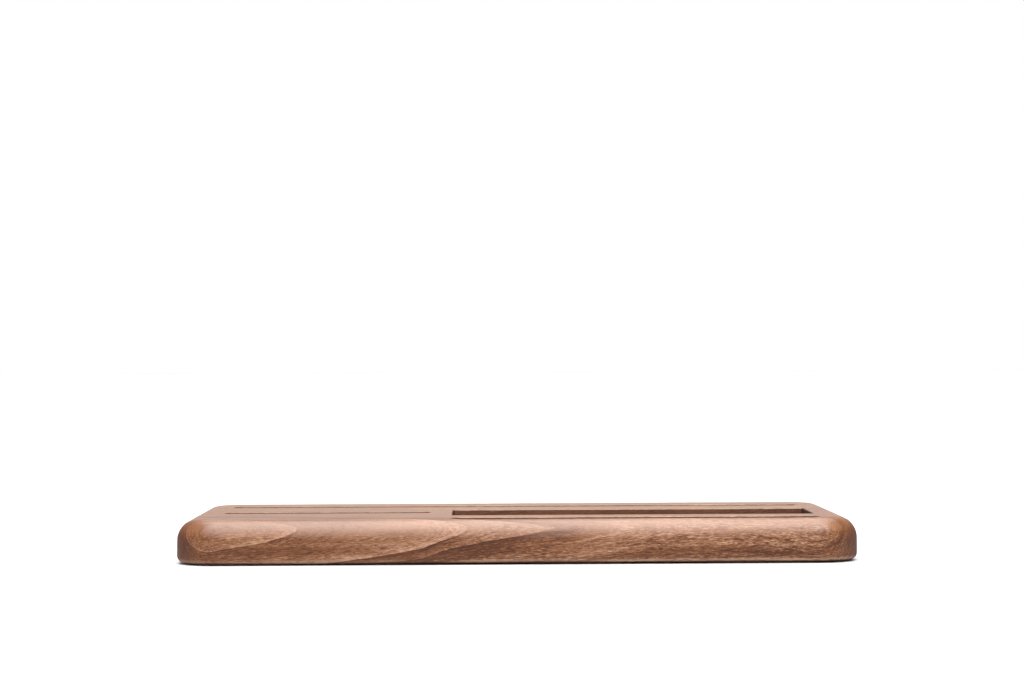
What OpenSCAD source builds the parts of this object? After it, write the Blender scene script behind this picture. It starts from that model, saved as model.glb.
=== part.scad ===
// Desk organizer in solid walnut: a low rounded block with two leaning slots that
// stand a tablet and a phone up, an open pocket and a narrow groove along its front.
// The block is two strips of wood, edge glued, on four rubber feet.
// The origin is on the table, under the middle of the block. The front faces -Y.

/* [Block] */
// Thickness of the wood
block_t = 19; // [18:0.5:26]
// Radius of the four corners, seen from above
corner_r = 18.5; // [12:0.5:24]
// Radius of the round-over along the top edge
top_round = 9.5; // [4:0.5:10]
// Radius of the round-over along the bottom edge
bottom_round = 3; // [1:0.5:4]
// Wood left between the ends of the block and the slots and pocket nearest to them
end_margin = 17; // [14:0.5:24]
// Depth of the rear strip, from the glue line to the back face
rear_strip_d = 55; // [50:1:70]

/* [Leaning slots] */
// Angle that both slots lean back from upright, in degrees
slot_lean = 21; // [12:1:24]
// Width of both slots, square to their walls
slot_w = 9; // [7:0.5:10]
// Depth of both slots, measured along their lean
slot_depth = 13; // [9:0.5:14]
// Width of the fine bevel round the mouths of both slots
slot_ease = 0.15; // [0.1:0.05:0.5]
// Length of the phone slot
phone_slot_l = 94; // [80:1:110]
// Distance from the phone slot's mouth back to the glue line
phone_slot_gap = 17.2; // [12:0.2:22]
// Distance from the glue line back to the tablet slot's mouth
tablet_slot_gap = 17; // [12:0.5:22]

/* [Pocket] */
// Length of the pocket
pocket_l = 162; // [130:1:190]
// Depth of the pocket, from front to back
pocket_d = 39.5; // [30:0.5:50]
// Depth of the pocket's floor under the top
pocket_depth = 13; // [8:0.5:14]
// Radius of the pocket's upright corners
pocket_corner_r = 1.5; // [1:0.5:5]
// Wood between the phone slot and the pocket
pocket_side_wall = 10; // [6:0.5:16]
// Wood between the pocket and the glue line
pocket_back_wall = 5; // [3:0.5:9]

/* [Pen groove] */
// Width of the pen groove, which is as long as the pocket
groove_w = 10; // [6:0.5:12]
// Depth of the pen groove under the top
groove_depth = 8; // [5:0.5:10]
// Distance from the front face to the pen groove
groove_from_front = 8; // [7:0.5:12]
// Width of the flat divider between the pen groove and the pocket
divider_w = 14.5; // [8:0.5:20]
// Width of the bevel round the mouths of the pocket and the pen groove
mouth_ease = 0.3; // [0.1:0.1:0.8]

/* [Feet] */
// Diameter of a rubber foot
foot_diameter = 12; // [8:0.5:16]
// Height of a rubber foot
foot_h = 2.2; // [2:0.1:4]
// Depth of the round seat that a foot is stuck into
foot_seat_depth = 1.6; // [1:0.1:1.9]
// Gap all round between a foot and the wall of its seat
foot_clearance = 0.2; // [0.1:0.05:0.5]
// Radius of the rounded edge under a foot
foot_round = 0.4; // [0.2:0.1:0.8]
// Distance from each end of the block to the middle of a foot
foot_end_inset = 25; // [20:1:40]
// Distance from the front and the back of the block to the middle of a foot
foot_side_inset = 22; // [18:1:26]

/* [Hidden] */
$fn = 96;

// How far every cut runs on past the face that it opens
overrun = 1;
// The phone slot and the pocket stand side by side, and the tablet slot is as long as both
tablet_slot_l = phone_slot_l + pocket_side_wall + pocket_l;
block_l = tablet_slot_l + 2 * end_margin;
// The groove, the divider, the pocket and its back wall lie one behind the other
pocket_from_front = groove_from_front + groove_w + divider_w;
front_strip_d = pocket_from_front + pocket_d + pocket_back_wall;
block_d = front_strip_d + rear_strip_d;
half_l = block_l / 2;
half_d = block_d / 2;
wood_z = foot_h - foot_seat_depth;
top_z = wood_z + block_t;
glue_y = front_strip_d - half_d;
// A leaning slot is wider where it meets the level top
slot_mouth_w = slot_w / cos(slot_lean);
phone_slot_x = (phone_slot_l - tablet_slot_l) / 2;
phone_slot_y = glue_y - phone_slot_gap - slot_mouth_w / 2;
tablet_slot_y = glue_y + tablet_slot_gap + slot_mouth_w / 2;
pocket_x = (tablet_slot_l - pocket_l) / 2;
pocket_y = pocket_from_front + pocket_d / 2 - half_d;
groove_y = groove_from_front + groove_w / 2 - half_d;
foot_x = half_l - foot_end_inset;
foot_y = half_d - foot_side_inset;
foot_seat_diameter = foot_diameter + 2 * foot_clearance;

front_wood = [0.71, 0.54, 0.45];
rear_wood = [0.70, 0.56, 0.43];
rubber = [0.09, 0.09, 0.09];

// The corner between a square edge and a round one
module round_off(r) {
    difference() {
        square(r + overrun);
        circle(r = r);
    }
}

// Outline of the wood's edge, from a plane that lies reach inside its face
module edge_profile(reach) {
    difference() {
        square([reach, block_t]);
        translate([reach - top_round, block_t - top_round])
            round_off(top_round);
        translate([reach - bottom_round, bottom_round])
            mirror([0, 1])
                round_off(bottom_round);
    }
}

// Outline of the whole block, seen from one end
module end_profile() {
    for (side = [0, 1])
        mirror([side, 0])
            edge_profile(half_d);
}

module blank() {
    translate([0, 0, wood_z]) {
        rotate([90, 0, 90])
            linear_extrude(block_l - 2 * corner_r, center = true)
                end_profile();
        for (side = [0, 1])
            mirror([side, 0, 0])
                translate([half_l - corner_r, 0, 0]) {
                    rotate([90, 0, 0])
                        linear_extrude(block_d - 2 * corner_r, center = true)
                            edge_profile(corner_r);
                    for (back = [0, 1])
                        mirror([0, back, 0])
                            translate([0, half_d - corner_r, 0])
                                rotate_extrude(angle = 90)
                                    edge_profile(corner_r);
                }
    }
}

// A box that holds all the wood on one side of the glue line
module side_of_glue_line(back) {
    depth = back ? rear_strip_d : front_strip_d;
    translate([-half_l - overrun, back ? glue_y : -half_d - overrun, wood_z - overrun])
        cube([block_l + 2 * overrun, depth + overrun, block_t + 2 * overrun]);
}

// A rectangle with round corners, centred
module rounded_outline(l, w, r) {
    square([l - 2 * r, w], center = true);
    square([l, w - 2 * r], center = true);
    for (x = [-1, 1])
        for (y = [-1, 1])
            translate([x * (l / 2 - r), y * (w / 2 - r)])
                circle(r = r);
}

// A slot's outline, with a half circle at each end
module slot_outline(l, w) {
    square([l - w, w], center = true);
    for (x = [-1, 1])
        translate([x * (l - w) / 2, 0])
            circle(d = w);
}

// Section of a bevelled mouth that is w wide below its bevel
module bevel_section(w, ease) {
    rise = ease + overrun;
    polygon([
        [-w / 2, -ease],
        [w / 2, -ease],
        [w / 2 + rise, overrun],
        [-w / 2 - rise, overrun]
    ]);
}

// The small bevel round a mouth of length l and width w, with corners of radius r
module bevelled_mouth(l, w, r, ease) {
    rise = ease + overrun;
    translate([0, 0, top_z]) {
        rotate([90, 0, 90])
            linear_extrude(l - 2 * r, center = true)
                bevel_section(w, ease);
        if (w > 2 * r)
            rotate([90, 0, 0])
                linear_extrude(w - 2 * r, center = true)
                    bevel_section(l, ease);
        for (x = [-1, 1])
            for (y = w > 2 * r ? [-1, 1] : [0])
                translate([x * (l / 2 - r), y * (w / 2 - r), -ease])
                    cylinder(r1 = r, r2 = r + rise, h = rise);
    }
}

module leaning_slot(x, y, l) {
    above = overrun + slot_w * sin(slot_lean);
    translate([x, y, top_z])
        rotate([-slot_lean, 0, 0])
            translate([0, 0, -slot_depth])
                linear_extrude(slot_depth + above)
                    slot_outline(l, slot_w);
    translate([x, y, 0])
        bevelled_mouth(l, slot_mouth_w, slot_mouth_w / 2, slot_ease);
}

module pocket() {
    translate([pocket_x, pocket_y, 0]) {
        translate([0, 0, top_z - pocket_depth])
            linear_extrude(pocket_depth + overrun)
                rounded_outline(pocket_l, pocket_d, pocket_corner_r);
        bevelled_mouth(pocket_l, pocket_d, pocket_corner_r, mouth_ease);
    }
}

module pen_groove() {
    translate([pocket_x, groove_y, 0]) {
        translate([0, 0, top_z - groove_depth])
            linear_extrude(groove_depth + overrun)
                slot_outline(pocket_l, groove_w);
        bevelled_mouth(pocket_l, groove_w, groove_w / 2, mouth_ease);
    }
}

module foot_seats(back) {
    for (x = [-1, 1])
        translate([x * foot_x, back ? foot_y : -foot_y, wood_z - overrun])
            cylinder(d = foot_seat_diameter, h = foot_seat_depth + overrun);
}

module front_strip() {
    color(front_wood)
        difference() {
            intersection() {
                blank();
                side_of_glue_line(false);
            }
            leaning_slot(phone_slot_x, phone_slot_y, phone_slot_l);
            pocket();
            pen_groove();
            foot_seats(false);
        }
}

module rear_strip() {
    color(rear_wood)
        difference() {
            intersection() {
                blank();
                side_of_glue_line(true);
            }
            leaning_slot(0, tablet_slot_y, tablet_slot_l);
            foot_seats(true);
        }
}

// A round rubber foot with a rounded lower edge, in its seat
module foot(x, y) {
    color(rubber)
        translate([x, y, 0])
            rotate_extrude()
                difference() {
                    square([foot_diameter / 2, foot_h]);
                    translate([foot_diameter / 2 - foot_round, foot_round])
                        mirror([0, 1])
                            round_off(foot_round);
                }
}

module foot_front_left() {
    foot(-foot_x, -foot_y);
}

module foot_front_right() {
    foot(foot_x, -foot_y);
}

module foot_rear_left() {
    foot(-foot_x, foot_y);
}

module foot_rear_right() {
    foot(foot_x, foot_y);
}

front_strip();
rear_strip();
foot_front_left();
foot_front_right();
foot_rear_left();
foot_rear_right();
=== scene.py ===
"""Looks of a desk organizer: two edge-glued strips of oiled walnut on four rubber feet."""

import math

import bpy
from mathutils import Matrix, Vector

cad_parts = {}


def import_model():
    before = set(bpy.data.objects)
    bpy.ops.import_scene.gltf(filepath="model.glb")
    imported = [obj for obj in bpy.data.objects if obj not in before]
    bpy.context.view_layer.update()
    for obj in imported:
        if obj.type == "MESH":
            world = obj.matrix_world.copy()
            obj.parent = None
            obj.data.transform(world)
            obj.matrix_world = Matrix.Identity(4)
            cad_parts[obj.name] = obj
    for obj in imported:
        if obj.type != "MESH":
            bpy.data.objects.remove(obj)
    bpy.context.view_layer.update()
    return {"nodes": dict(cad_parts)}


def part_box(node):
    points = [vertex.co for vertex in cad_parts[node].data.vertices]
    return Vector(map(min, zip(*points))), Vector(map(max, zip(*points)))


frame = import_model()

MM = 0.001

# Places on the block in millimetres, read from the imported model
FRONT_LOW, FRONT_HIGH = [[c / MM for c in corner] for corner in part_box("front_strip")]
REAR_LOW, REAR_HIGH = [[c / MM for c in corner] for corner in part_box("rear_strip")]
FRONT_Y = FRONT_LOW[1]
GLUE_Y = REAR_LOW[1]
BACK_Y = REAR_HIGH[1]
HALF_L = FRONT_HIGH[0]
TOP_Z = FRONT_HIGH[2]
WOOD_Z = FRONT_LOW[2]

# Sockets of a mix node that take and give colours
MIX_A = 6
MIX_B = 7
MIX_RESULT = 2


def srgb(red, green, blue):
    """A colour as seen on a screen, 0 to 255, as the linear colour that shaders take."""

    def linear(value):
        value /= 255
        return value / 12.92 if value <= 0.04045 else ((value + 0.055) / 1.055) ** 2.4

    return (linear(red), linear(green), linear(blue), 1.0)


class Graph:
    """A material's node tree, built by calls that read as formulas."""

    def __init__(self, material):
        material.use_nodes = True
        self.tree = material.node_tree
        self.tree.nodes.clear()

    def node(self, kind, **settings):
        made = self.tree.nodes.new(kind)
        for name, value in settings.items():
            setattr(made, name, value)
        return made

    def feed(self, socket, value):
        if isinstance(value, bpy.types.NodeSocket):
            self.tree.links.new(value, socket)
        else:
            socket.default_value = value

    def fill(self, node, values):
        for socket, value in zip(node.inputs, values):
            self.feed(socket, value)
        return node.outputs[0]

    def math(self, operation, *values, clamp=False):
        return self.fill(self.node("ShaderNodeMath", operation=operation, use_clamp=clamp), values)

    def add(self, a, b):
        return self.math("ADD", a, b)

    def sub(self, a, b):
        return self.math("SUBTRACT", a, b)

    def mul(self, a, b):
        return self.math("MULTIPLY", a, b)

    def size_of(self, value):
        return self.math("ABSOLUTE", value)

    def vector_math(self, operation, *values):
        return self.fill(self.node("ShaderNodeVectorMath", operation=operation), values)

    def split(self, vector):
        node = self.node("ShaderNodeSeparateXYZ")
        self.feed(node.inputs[0], vector)
        return node.outputs

    def join(self, x, y, z):
        return self.fill(self.node("ShaderNodeCombineXYZ"), (x, y, z))

    def step(self, value, low, high, at_low=0.0, at_high=1.0):
        """A smooth step from at_low to at_high as value goes from low to high."""
        node = self.node("ShaderNodeMapRange", interpolation_type="SMOOTHSTEP")
        return self.fill(node, (value, low, high, at_low, at_high))

    def band(self, value, start, full, fading, end):
        """0 at start, 1 from full to fading, and 0 again at end."""
        return self.mul(self.step(value, start, full), self.step(value, end, fading))

    def noise(self, vector, detail=2.0, roughness=0.5, seed=0.0, distortion=0.0):
        """Noise from -1 to 1 with features about one unit wide."""
        node = self.node("ShaderNodeTexNoise", noise_dimensions="4D")
        self.feed(node.inputs["Vector"], vector)
        node.inputs["W"].default_value = seed
        node.inputs["Scale"].default_value = 1.0
        node.inputs["Detail"].default_value = detail
        node.inputs["Roughness"].default_value = roughness
        node.inputs["Distortion"].default_value = distortion
        return self.math("MULTIPLY_ADD", node.outputs[0], 2.0, -1.0)

    def random(self, value):
        """A number from 0 to 1 that is different for each value."""
        node = self.node("ShaderNodeTexWhiteNoise", noise_dimensions="1D")
        self.feed(node.inputs["W"], value)
        return node.outputs[0]

    def curve(self, value, points, handles="AUTO_CLAMPED"):
        """The height, at value, of a curve through points, level beyond the first and last."""
        (x1, x2), (y1, y2) = [(min(c), max(c)) for c in zip(*points)]
        node = self.node("ShaderNodeFloatCurve")
        line = node.mapping.curves[0]
        node.mapping.extend = "HORIZONTAL"
        while len(line.points) < len(points):
            line.points.new(0.5, 0.5)
        for place, (x, y) in zip(line.points, points):
            place.location = ((x - x1) / (x2 - x1), (y - y1) / (y2 - y1))
            place.handle_type = handles
        node.mapping.update()
        share = self.math("DIVIDE", self.sub(value, x1), x2 - x1, clamp=True)
        self.feed(node.inputs["Value"], share)
        return self.math("MULTIPLY_ADD", node.outputs[0], y2 - y1, y1)

    def ramp(self, value, stops):
        node = self.node("ShaderNodeValToRGB")
        marks = node.color_ramp.elements
        while len(marks) < len(stops):
            marks.new(0.5)
        for mark, (place, colour) in zip(marks, stops):
            mark.position = place
            mark.color = colour
        self.feed(node.inputs[0], value)
        return node.outputs[0]

    def blend(self, share, a, b, kind="MIX"):
        node = self.node("ShaderNodeMix", data_type="RGBA", blend_type=kind, clamp_factor=True)
        self.feed(node.inputs["Factor"], share)
        self.feed(node.inputs[MIX_A], a)
        self.feed(node.inputs[MIX_B], b)
        return node.outputs[MIX_RESULT]

    def tint(self, share, colour, filter_colour):
        """The colour as seen through a filter, for that share."""
        return self.blend(share, colour, filter_colour, "MULTIPLY")

    def point_mm(self):
        """The place on the surface, in millimetres in the block's own frame."""
        coordinates = self.node("ShaderNodeTexCoord")
        scale = self.node("ShaderNodeVectorMath", operation="SCALE")
        self.feed(scale.inputs[0], coordinates.outputs["Object"])
        scale.inputs["Scale"].default_value = 1 / MM
        return scale.outputs[0]

    def normal(self):
        return self.node("ShaderNodeTexCoord").outputs["Normal"]

    def shader(self, bump_height=None, bump_mm=0.0, **sockets):
        """The surface itself, with one value or one line of nodes for each socket."""
        surface = self.node("ShaderNodeBsdfPrincipled")
        for name, value in sockets.items():
            self.feed(surface.inputs[name.replace("_", " ")], value)
        if bump_height is not None:
            bump = self.node("ShaderNodeBump")
            bump.inputs["Distance"].default_value = bump_mm * MM
            self.feed(bump.inputs["Height"], bump_height)
            self.feed(surface.inputs["Normal"], bump.outputs[0])
        self.feed(self.node("ShaderNodeOutputMaterial").inputs["Surface"], surface.outputs[0])


# How far the lines of the rings drift slowly and waver quickly, in mm of growth
DRIFT = 0.45
WAVER = 0.25
# Streaks that follow the rings are wider from front to back, where their noise runs at this share of its pace
RING_NOISE_Y = 0.4


class Wood:
    """A place in one piece of walnut, and noise that runs with its grain. All lengths are in mm."""

    def __init__(self, g, growth_of, seed):
        self.g = g
        self.seed = seed
        self.point = g.point_mm()
        self.x, self.y, self.z = g.split(self.point)
        drift = self.noise(along=60, across=9, offset=0, detail=1.0)
        waver = self.noise(along=6, across=1.0, offset=1, detail=2.0)
        unsteady = g.add(g.mul(drift, DRIFT), g.mul(waver, WAVER))
        self.growth = g.add(growth_of(self), unsteady)

    def noise(self, along, across, offset, **settings):
        """Noise with features of that length and width. Each offset from the seed is another pattern."""
        scaled = self.g.vector_math("MULTIPLY", self.point, (1 / along, 1 / across, 1 / across))
        return self.g.noise(scaled, seed=self.seed + offset, **settings)

    def ring_noise(self, along, across, offset, **settings):
        """The same, but its features follow the growth rings."""
        g = self.g
        end_to_end = g.mul(self.x, 1 / along)
        front_to_back = g.mul(self.y, RING_NOISE_Y / across)
        ring_to_ring = g.mul(self.growth, 1 / across)
        scaled = g.join(end_to_end, front_to_back, ring_to_ring)
        return g.noise(scaled, seed=self.seed + offset, **settings)


# How the growth rings of the front strip rise along its length: place along the block and height, in mm
FRONT_RISE = [
    (-150, 3.5), (-144, 4.3), (-138, 5), (-131, 6.6), (-116, 9.1), (-103, 11.7), (-95, 13.3),
    (-75, 19.5), (-60, 22.1), (-43, 25.1), (-38, 26.8), (-31, 29.2), (-23, 31), (-15, 32.4), (-8, 33.6),
    (0, 34.6), (7, 35.3), (15, 35.8), (23, 36), (34, 38), (60, 41), (98, 42), (112, 41), (128, 40.6),
    (138, 42), (144, 46), (150, 52),
]
# Growth per mm back over the top, the mm by which it lags there because it starts slower at the front
# face, and the depth over which most of that lag builds up
FRONT_PACE = 1.8
FRONT_LAG = 4.3
FRONT_LAG_DEPTH = 8
# How the rings of the rear strip drift along its length, both in mm, and growth per mm back over the top
REAR_RISE = [(-150, 0), (-110, 5), (-60, 9), (0, 10), (70, 7), (120, 4), (150, -3)]
REAR_PACE = 1.9


def front_growth(wood):
    """Growth across the front strip. It runs down the front face and back over the top."""
    g = wood.g
    behind = g.sub(wood.y, FRONT_Y)
    eased = g.math("EXPONENT", g.mul(behind, -1 / FRONT_LAG_DEPTH))
    run = g.add(g.mul(behind, FRONT_PACE), g.mul(g.sub(eased, 1.0), FRONT_LAG))
    rise = g.curve(wood.x, FRONT_RISE)
    return g.sub(g.add(rise, run), wood.z)


def rear_growth(wood):
    """Growth across the rear strip, which leans the other way."""
    g = wood.g
    behind = g.sub(wood.y, GLUE_Y)
    return g.add(g.add(g.mul(behind, REAR_PACE), wood.z), g.curve(wood.x, REAR_RISE))


# How light the wood is along the growth, in mm. A ring starts dark with a sharp line and pales after it.
FRONT_BANDS = [
    (-12, 0), (-10, -0.02), (-7.5, -0.18), (-6, -0.08), (-4.2, 0.06), (-3.6, 0.02), (-1.2, 0.08),
    (-0.5, 0.18), (-0.1, 0.34), (0, -0.26), (0.6, -0.12), (6, -0.08), (9, -0.02), (12, 0.03), (15, 0.11),
    (17.8, 0.25), (18, -0.32), (20, -0.16), (22.4, 0.04), (22.7, -0.4), (23.3, -0.2), (24, -0.1),
    (25.8, -0.02), (26.5, 0.14), (27.2, 0), (28.5, 0.04), (30, 0.02), (32, 0), (33.4, 0.04), (34.2, -0.1),
    (36.5, -0.26), (38.5, -0.08), (40, 0.06), (41, 0.04),
]
# The second and third rings are darker still on the left, which fades out between these places
DARK_RINGS = [
    (17.9, 0), (18.1, -0.12), (22.5, -0.14), (22.7, -0.22), (23.4, -0.28), (27, -0.46), (29, -0.3),
    (30.5, -0.1), (32, 0),
]
DARK_RINGS_FADE = (-20, 55)
# The second ring is lifted back towards plain wood from these places on, left of the middle
FADING_RING = [(17.8, 0), (18, 0.42), (20, 0.3), (22.4, 0.14), (22.7, 0)]
FADING_RING_STARTS = (-40, -20)
# Level dark streaks low on the front face: heights and places along the block in mm, both from where the
# streak starts to where it is full, fades and ends, and its tone
DARK_STREAKS = [
    ((3.2, 5.4, 7.2, 9.0), (-140, -118, -62, -46), -0.17),
    ((2.2, 3.8, 6.2, 8.0), (66, 90, 118, 132), -0.09),
]
# Even rings: how far apart they are in mm, the power by which each pales, its palest tone at full strength,
# and the weakest ring's strength and how much stronger others can be
EVEN_RING = 5.5
EVEN_FALL = 1.5
EVEN_PALEST = 0.35
EVEN_WEAKEST = 0.12
EVEN_VARIES = 0.2


def even_bands(wood, growth):
    """Rings of one width that differ in strength: dark at first, then paler."""
    g = wood.g
    rings = g.mul(growth, 1 / EVEN_RING)
    dark = g.math("POWER", g.sub(1.0, g.math("FRACT", rings)), EVEN_FALL)
    chance = g.random(g.add(g.math("FLOOR", rings), wood.seed))
    strength = g.add(EVEN_WEAKEST, g.mul(chance, EVEN_VARIES))
    return g.mul(g.sub(EVEN_PALEST, dark), strength)


def front_bands(wood, growth):
    """The rings drawn above, even rings beyond them and the dark streaks."""
    g = wood.g
    last = FRONT_BANDS[-1][0]
    beyond = g.math("GREATER_THAN", growth, last)
    even = g.mul(even_bands(wood, g.sub(growth, last)), beyond)
    drawn = g.mul(g.curve(growth, FRONT_BANDS, "VECTOR"), g.sub(1.0, beyond))
    on_left = g.step(wood.x, *DARK_RINGS_FADE, at_low=1.0, at_high=0.0)
    darker = g.mul(g.curve(growth, DARK_RINGS, "VECTOR"), on_left)
    faded = g.mul(g.curve(growth, FADING_RING, "VECTOR"), g.step(wood.x, *FADING_RING_STARTS))
    tone = g.add(g.add(drawn, g.add(darker, faded)), even)
    for heights, places, streak_tone in DARK_STREAKS:
        streak = g.mul(g.band(wood.z, *heights), g.band(wood.x, *places))
        tone = g.add(tone, g.mul(streak, streak_tone))
    return tone


# How lively the fine grain is along the block: place in mm and strength
LIVELY = [
    (-150, 0.8), (-95, 0.76), (-65, 0.62), (-30, 0.85), (0, 0.98), (35, 0.86), (60, 0.98), (110, 1.22),
    (150, 1.25),
]
# The figure softens up the round-over from here, and comes back a little between these, on the flat top
ROUND_Z = TOP_Z - 9
FLAT_FROM_Z = TOP_Z - 0.8
FLAT_Z = TOP_Z - 0.1
# The tone of plain wood, which every mark makes darker or lighter
PLAIN_TONE = 0.6
# Strength of each kind of mark in the fine grain, as a change of tone
STREAKS = 0.44
FLECKS = 1.05
MOTTLES = 0.2
HAIRS = 0.42
CLOUDS = 0.12
# A hair lies where its noise is nearer to zero than this, and its patches start and are full at these
HAIR_HALF_WIDTH = 0.1
HAIR_PATCHES = (-0.3, 0.2)
# A pore starts and is full at these values of its noise
PORE_EDGE = (0.1, 0.42)
# How deep pores are in pale wood, and how much deeper in the darkest part of a ring, which has this tone
PORE_DEPTH = 0.45
PORE_DEEPER = 0.4
DARKEST_BAND = -1 / 3
# Colour of a pore, and how far it covers the wood
PORE_BROWN = srgb(60, 24, 6)
PORE_COVER = 0.75
# Painted light from the floor, which makes the bottom edge paler: heights where it starts, is full, fades and
# ends, and places along the block between which its tone changes
FLOOR_LIGHT_HEIGHTS = [WOOD_Z + height for height in (0.2, 1.0, 1.2, 2.4)]
FLOOR_LIGHT_PLACES = (10, 70)
FLOOR_LIGHT_TONES = (0.28, 0.44)
# The painted shade line under it: heights and places along the block where it starts and is full, and its
# tone
SHADE_LINE_HEIGHTS = (WOOD_Z + 1.0, WOOD_Z + 0.3)
SHADE_LINE_PLACES = (-60, 0)
SHADE_LINE_TONE = -0.25
# Painted shade on both ends: places and heights where it starts and is full
SHADED_END_PLACES = (116, 146)
SHADED_END_HEIGHTS = (TOP_Z - 4, TOP_Z - 8)
END_SHADE_TONE = -0.1
# Painted shade on the round-over on the left: heights and places where it starts and is full, its tone, and
# the share of it that the flat top has
SHADED_SHOULDER_HEIGHTS = (TOP_Z - 6, TOP_Z - 2)
SHADED_SHOULDER_PLACES = (-40, -80)
SHOULDER_SHADE_TONE = -0.12
SHOULDER_SHADE_ON_TOP = 0.3
# Filters over the wood's colour, in patches, on end grain, and for painted shade where the cutter went
YELLOWER = srgb(255, 250, 232)
END_FILTER = srgb(188, 148, 94)
RECESS_SHADE_FILTER = srgb(178, 158, 142)
# A yellower patch starts and is full at these values of its noise
YELLOW_EDGE = (0.0, 0.6)
# End grain starts and is full where the surface faces this squarely along the block
END_EDGE = (0.3, 0.95)
# The cut surfaces are this far under the top and above the underside, and in from the ends and faces
ROUTED_UNDER = 0.25
ROUTED_IN_X = 16.3
ROUTED_IN_Y = 7.4
# Cut surfaces have this share of their painted shade at the top, and all of it from this depth
RECESS_SHADE_AT_TOP = 0.75
RECESS_SHADE_DEPTH = 5
# Roughness of the oiled wood, and how much duller each of these is
OILED = 0.36
PORES_DULLER = 0.15
MOTTLES_DULLER = 0.05
END_DULLER = 0.3
ROUTED_DULLER = 0.25
# Depth of a pore in mm, and the relief of streaks and flecks as shares of it
RELIEF_MM = 0.05
STREAK_RELIEF = 0.3
FLECK_RELIEF = 0.2


def softened(wood, level_z, on_round, on_top):
    """How far the figure shows: all of it on the faces, less on the round-over, more again on the top."""
    g = wood.g
    up_round = g.step(wood.z, ROUND_Z, level_z, 1.0, on_round)
    return g.add(up_round, g.step(wood.z, FLAT_FROM_Z, FLAT_Z, 0.0, on_top))


def hairs(wood):
    """Thin wavy dark hairs, in patches."""
    g = wood.g
    wavy = wood.ring_noise(along=11, across=0.95, offset=7, detail=2.0, distortion=1.0)
    patch = wood.noise(along=24, across=5, offset=8, detail=1.0)
    return g.mul(g.step(g.size_of(wavy), HAIR_HALF_WIDTH, 0.0), g.step(patch, *HAIR_PATCHES))


def open_pores(wood, banding):
    """Short dark lines along the grain and dots across it, deeper in the dark part of a ring."""
    g = wood.g
    spots = g.step(wood.noise(along=3.2, across=0.36, offset=5, detail=1.0), *PORE_EDGE)
    dark = g.math("MULTIPLY", banding, 1 / DARKEST_BAND, clamp=True)
    return g.mul(spots, g.add(PORE_DEPTH, g.mul(dark, PORE_DEEPER)))


def painted_floor_light_and_shade(wood):
    """Painted light from the floor on the bottom edge, more so on the right, with a painted shade line under
    it there.
    """
    g = wood.g
    # Painted light from the floor, paler on the right
    floor_light = g.mul(g.band(wood.z, *FLOOR_LIGHT_HEIGHTS), g.step(wood.x, *FLOOR_LIGHT_PLACES, *FLOOR_LIGHT_TONES))
    # Painted shade line just above the underside, on the right
    line = g.mul(g.step(wood.z, *SHADE_LINE_HEIGHTS), g.step(wood.x, *SHADE_LINE_PLACES, 0.0, SHADE_LINE_TONE))
    off_underside = g.step(wood.z, WOOD_Z, WOOD_Z + 0.05)
    return g.add(floor_light, g.mul(line, off_underside))


def painted_end_shade(wood):
    """Painted shade on both ends, and on the round-over on the left."""
    g = wood.g
    # Painted shade on both ends, lower down
    end_shade = g.step(g.size_of(wood.x), *SHADED_END_PLACES)
    end_shade = g.mul(end_shade, g.step(wood.z, *SHADED_END_HEIGHTS, 0.0, END_SHADE_TONE))
    # Painted shade on the round-over on the left, with less of it on the flat top
    off_top = g.step(wood.z, TOP_Z, FLAT_FROM_Z, SHOULDER_SHADE_ON_TOP, 1.0)
    shoulder_shade = g.mul(g.step(wood.z, *SHADED_SHOULDER_HEIGHTS), off_top)
    shoulder_shade = g.mul(shoulder_shade, g.step(wood.x, *SHADED_SHOULDER_PLACES, 0.0, SHOULDER_SHADE_TONE))
    return g.add(end_shade, shoulder_shade)


def routed(wood):
    """1 on the walls and floors of the slots, the pocket and the groove, and 0 on the outside."""
    g = wood.g
    inside = g.math("LESS_THAN", wood.z, TOP_Z - ROUTED_UNDER)
    for place, limit in ((wood.x, HALF_L - ROUTED_IN_X), (wood.y, BACK_Y - ROUTED_IN_Y)):
        inside = g.mul(inside, g.math("LESS_THAN", g.size_of(place), limit))
    return g.mul(inside, g.math("GREATER_THAN", wood.z, WOOD_Z + ROUTED_UNDER))


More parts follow.
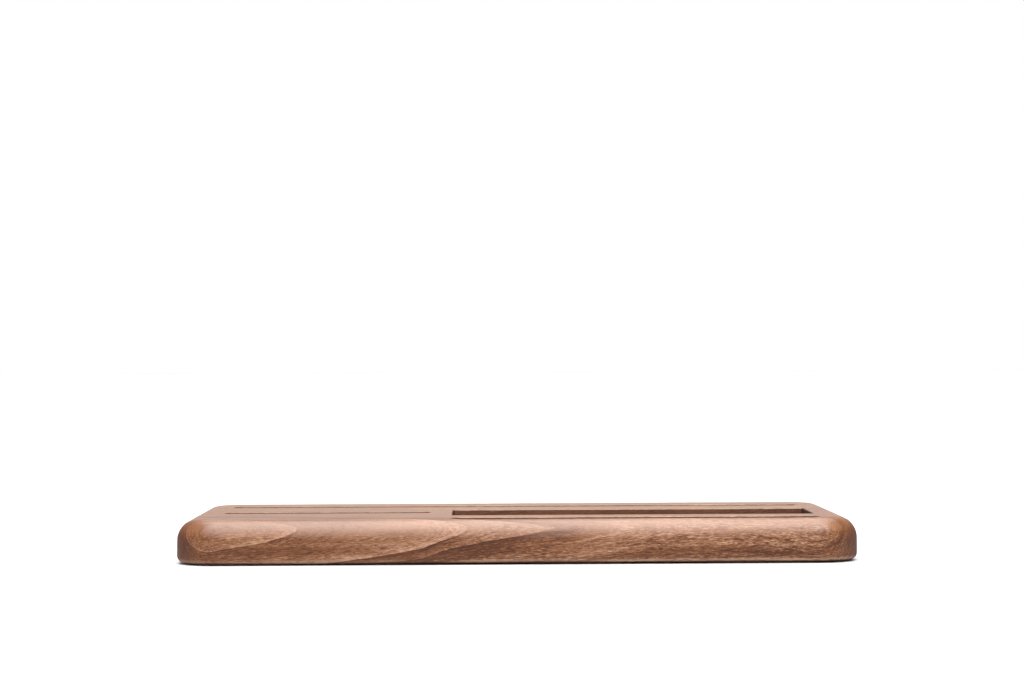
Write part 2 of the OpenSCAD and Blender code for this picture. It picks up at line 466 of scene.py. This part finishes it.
def walnut(name, growth_of, bands_of, tones, seed):
    """Oiled walnut whose rings, fibres and pores run through the solid wood."""
    material = bpy.data.materials.new(name)
    g = Graph(material)
    wood = Wood(g, growth_of, seed)
    rings_show = softened(wood, level_z=TOP_Z - 3, on_round=0.42, on_top=0.35)
    grain_shows = softened(wood, level_z=TOP_Z - 4, on_round=0.35, on_top=0.4)
    banding = g.mul(bands_of(wood, wood.growth), rings_show)
    lively = g.curve(wood.x, LIVELY)

    # Fibre streaks, flecks and mottles, then hairs, then soft clouds along the grain
    streak = wood.ring_noise(along=17, across=0.55, offset=2, detail=4.0, roughness=0.65)
    fleck = wood.noise(along=2.3, across=0.37, offset=3, detail=3.0, roughness=0.75)
    mottle = wood.ring_noise(along=9, across=1.7, offset=6, detail=4.0, roughness=0.65, distortion=0.8)
    fibre = g.add(g.mul(streak, STREAKS), g.add(g.mul(fleck, FLECKS), g.mul(mottle, MOTTLES)))
    fibre = g.sub(g.mul(fibre, grain_shows), g.mul(g.mul(hairs(wood), grain_shows), HAIRS))
    cloud = wood.noise(along=50, across=9, offset=4, detail=2.0)
    tone = g.add(g.add(banding, g.mul(fibre, lively)), g.mul(cloud, CLOUDS))
    # Painted floor light and shade on the bottom edge, and painted shade on the ends and on the left
    # round-over
    tone = g.add(g.add(tone, painted_floor_light_and_shade(wood)), g.add(painted_end_shade(wood), PLAIN_TONE))
    colour = g.ramp(tone, tones)

    yellow_patch = g.step(wood.noise(along=18, across=4, offset=9), *YELLOW_EDGE)
    colour = g.tint(yellow_patch, colour, YELLOWER)
    pore = open_pores(wood, banding)
    pore_cover = g.mul(pore, g.mul(g.mul(lively, grain_shows), PORE_COVER))
    colour = g.blend(pore_cover, colour, PORE_BROWN)
    # End grain drinks more oil and is darker
    end = g.step(g.size_of(g.split(g.normal())[0]), *END_EDGE)
    colour = g.tint(end, colour, END_FILTER)
    # Painted shade on the cut surfaces of the slots, the pocket and the groove, darkest deep down
    inside = routed(wood)
    deeper_shade = g.step(wood.z, TOP_Z, TOP_Z - RECESS_SHADE_DEPTH, RECESS_SHADE_AT_TOP, 1.0)
    # Painted shade in the recesses
    colour = g.tint(g.mul(inside, deeper_shade), colour, RECESS_SHADE_FILTER)

    # Pores, end grain and cut surfaces are duller, and pores are hollow
    dull = g.add(OILED, g.mul(pore, PORES_DULLER))
    duller = g.add(g.mul(end, END_DULLER), g.mul(inside, ROUTED_DULLER))
    dull = g.add(dull, g.add(g.mul(mottle, MOTTLES_DULLER), duller))
    relief = g.sub(g.add(g.mul(streak, STREAK_RELIEF), g.mul(fleck, FLECK_RELIEF)), pore)
    g.shader(
        bump_height=relief,
        bump_mm=RELIEF_MM,
        Base_Color=colour,
        Roughness=dull,
        IOR=1.5,
        Specular_IOR_Level=0.36,
    )
    return material


# The wood's colours from dark to light, at their places on the tone scale
FRONT_TONES = [
    (0.0, srgb(52, 18, 1)),
    (0.3, srgb(77, 38, 6)),
    (0.6, srgb(109, 71, 45)),
    (1.0, srgb(156, 122, 101)),
]
REAR_TONES = [
    (0.0, srgb(50, 20, 1)),
    (0.3, srgb(78, 41, 8)),
    (0.6, srgb(110, 75, 46)),
    (1.0, srgb(156, 124, 96)),
]
# Each strip has its own noise
FRONT_SEED = 1.0
REAR_SEED = 21.0


def rubber():
    """Matt black rubber with specks a third of a millimetre wide."""
    material = bpy.data.materials.new("black_rubber")
    g = Graph(material)
    speck_scale = (3, 3, 3)
    speck = g.noise(g.vector_math("MULTIPLY", g.point_mm(), speck_scale), detail=3.0, seed=9.0)
    colour = g.blend(g.step(speck, -0.6, 0.6), srgb(28, 28, 29), srgb(44, 43, 42))
    g.shader(
        bump_height=speck,
        bump_mm=0.02,
        Base_Color=colour,
        Roughness=g.add(0.8, g.mul(speck, 0.08)),
    )
    return material


def paint(node, material):
    """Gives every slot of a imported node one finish."""
    for slot in frame["nodes"][node].material_slots:
        slot.material = material


def finishes():
    paint("front_strip", walnut("front_walnut_oiled", front_growth, front_bands, FRONT_TONES, FRONT_SEED))
    paint("rear_strip", walnut("rear_walnut_oiled", rear_growth, even_bands, REAR_TONES, REAR_SEED))
    foot_rubber = rubber()
    for node in frame["nodes"]:
        if node.startswith("foot"):
            paint(node, foot_rubber)


def floor():
    """A plain pale floor, in metres, that runs far past the picture."""
    half = 12.0
    mesh = bpy.data.meshes.new("floor")
    corners = [(-half, -half, 0), (half, -half, 0), (half, half, 0), (-half, half, 0)]
    mesh.from_pydata(corners, [], [(0, 1, 2, 3)])
    plane = bpy.data.objects.new("floor", mesh)
    bpy.context.scene.collection.objects.link(plane)
    material = bpy.data.materials.new("pale_floor")
    Graph(material).shader(Base_Color=(0.44, 0.44, 0.44, 1), Roughness=0.8, Specular_IOR_Level=0.2)
    mesh.materials.append(material)


def world():
    """A white backdrop behind the block, in a room that is darker to the sides and in front."""
    sky = bpy.data.worlds.new("studio")
    g = Graph(sky)
    room_glow = 0.2
    backdrop_glow = 0.85
    # The part of a direction that points to the back, where the backdrop starts and where it is full
    backdrop_starts = 0.8
    backdrop_full = 0.95
    direction = g.split(g.node("ShaderNodeTexCoord").outputs["Generated"])
    around = g.step(direction[1], backdrop_starts, backdrop_full, room_glow, backdrop_glow)
    seen = g.node("ShaderNodeLightPath").outputs["Is Camera Ray"]
    glow = g.node("ShaderNodeBackground")
    g.feed(glow.inputs["Color"], (1, 1, 1, 1))
    g.feed(glow.inputs["Strength"], g.math("MAXIMUM", around, seen))
    g.feed(g.node("ShaderNodeOutputWorld").inputs["Surface"], glow.outputs[0])
    bpy.context.scene.world = sky


def soft_light(name, azimuth, elevation, spread, strength, in_gloss=True, in_diffuse=True):
    """A far, soft light from that direction, in degrees. Azimuth 0 is in front of the block."""
    light = bpy.data.lights.new(name, "SUN")
    light.angle = math.radians(spread)
    light.energy = strength
    holder = bpy.data.objects.new(name, light)
    holder.visible_glossy = in_gloss
    holder.visible_diffuse = in_diffuse
    bpy.context.scene.collection.objects.link(holder)
    turn = math.radians(azimuth)
    lift = math.radians(elevation)
    towards = Vector((math.sin(turn) * math.cos(lift), -math.cos(turn) * math.cos(lift), math.sin(lift)))
    holder.rotation_euler = towards.to_track_quat("Z", "Y").to_euler()


def lights():
    soft_light("overhead", azimuth=0, elevation=82, spread=50, strength=3.4)
    soft_light("sheen", azimuth=180, elevation=72, spread=46, strength=2.0, in_diffuse=False)
    soft_light("front", azimuth=0, elevation=58, spread=70, strength=4.4)
    soft_light("back", azimuth=180, elevation=60, spread=40, strength=1.0)
    soft_light("front_fill", azimuth=0, elevation=25, spread=110, strength=2.2, in_gloss=False)
    soft_light("back_fill", azimuth=180, elevation=25, spread=110, strength=1.6, in_gloss=False)


def camera():
    """The camera of the photograph: nearly level, square to the front and about 1.1 m away."""
    picture_w_px = 1024
    focal_px = 2500
    to_the_left = 14.15
    in_front = 1086.0
    above_top = 70.9
    # In radians, as fitted to the block's outline in the photograph
    yaw = -0.0110
    pitch = 0.0060
    roll = -0.0045
    data = bpy.data.cameras.new("camera")
    data.sensor_width = 36
    data.lens = focal_px * data.sensor_width / picture_w_px
    holder = bpy.data.objects.new("camera", data)
    bpy.context.scene.collection.objects.link(holder)
    right = Vector((math.cos(yaw), math.sin(yaw), 0))
    level = Vector((-math.sin(yaw), math.cos(yaw), 0))
    ahead = level * math.cos(pitch) + Vector((0, 0, math.sin(pitch)))
    up = Vector((0, 0, math.cos(pitch))) - level * math.sin(pitch)
    turned_right = right * math.cos(roll) + up * math.sin(roll)
    turned_up = up * math.cos(roll) - right * math.sin(roll)
    matrix = Matrix((turned_right, turned_up, -ahead)).transposed().to_4x4()
    matrix.translation = Vector((-to_the_left, FRONT_Y - in_front, TOP_Z + above_top)) * MM
    holder.matrix_world = matrix
    bpy.context.scene.camera = holder


finishes()
floor()
world()
lights()
camera()
bpy.context.scene.view_settings.view_transform = "Standard"
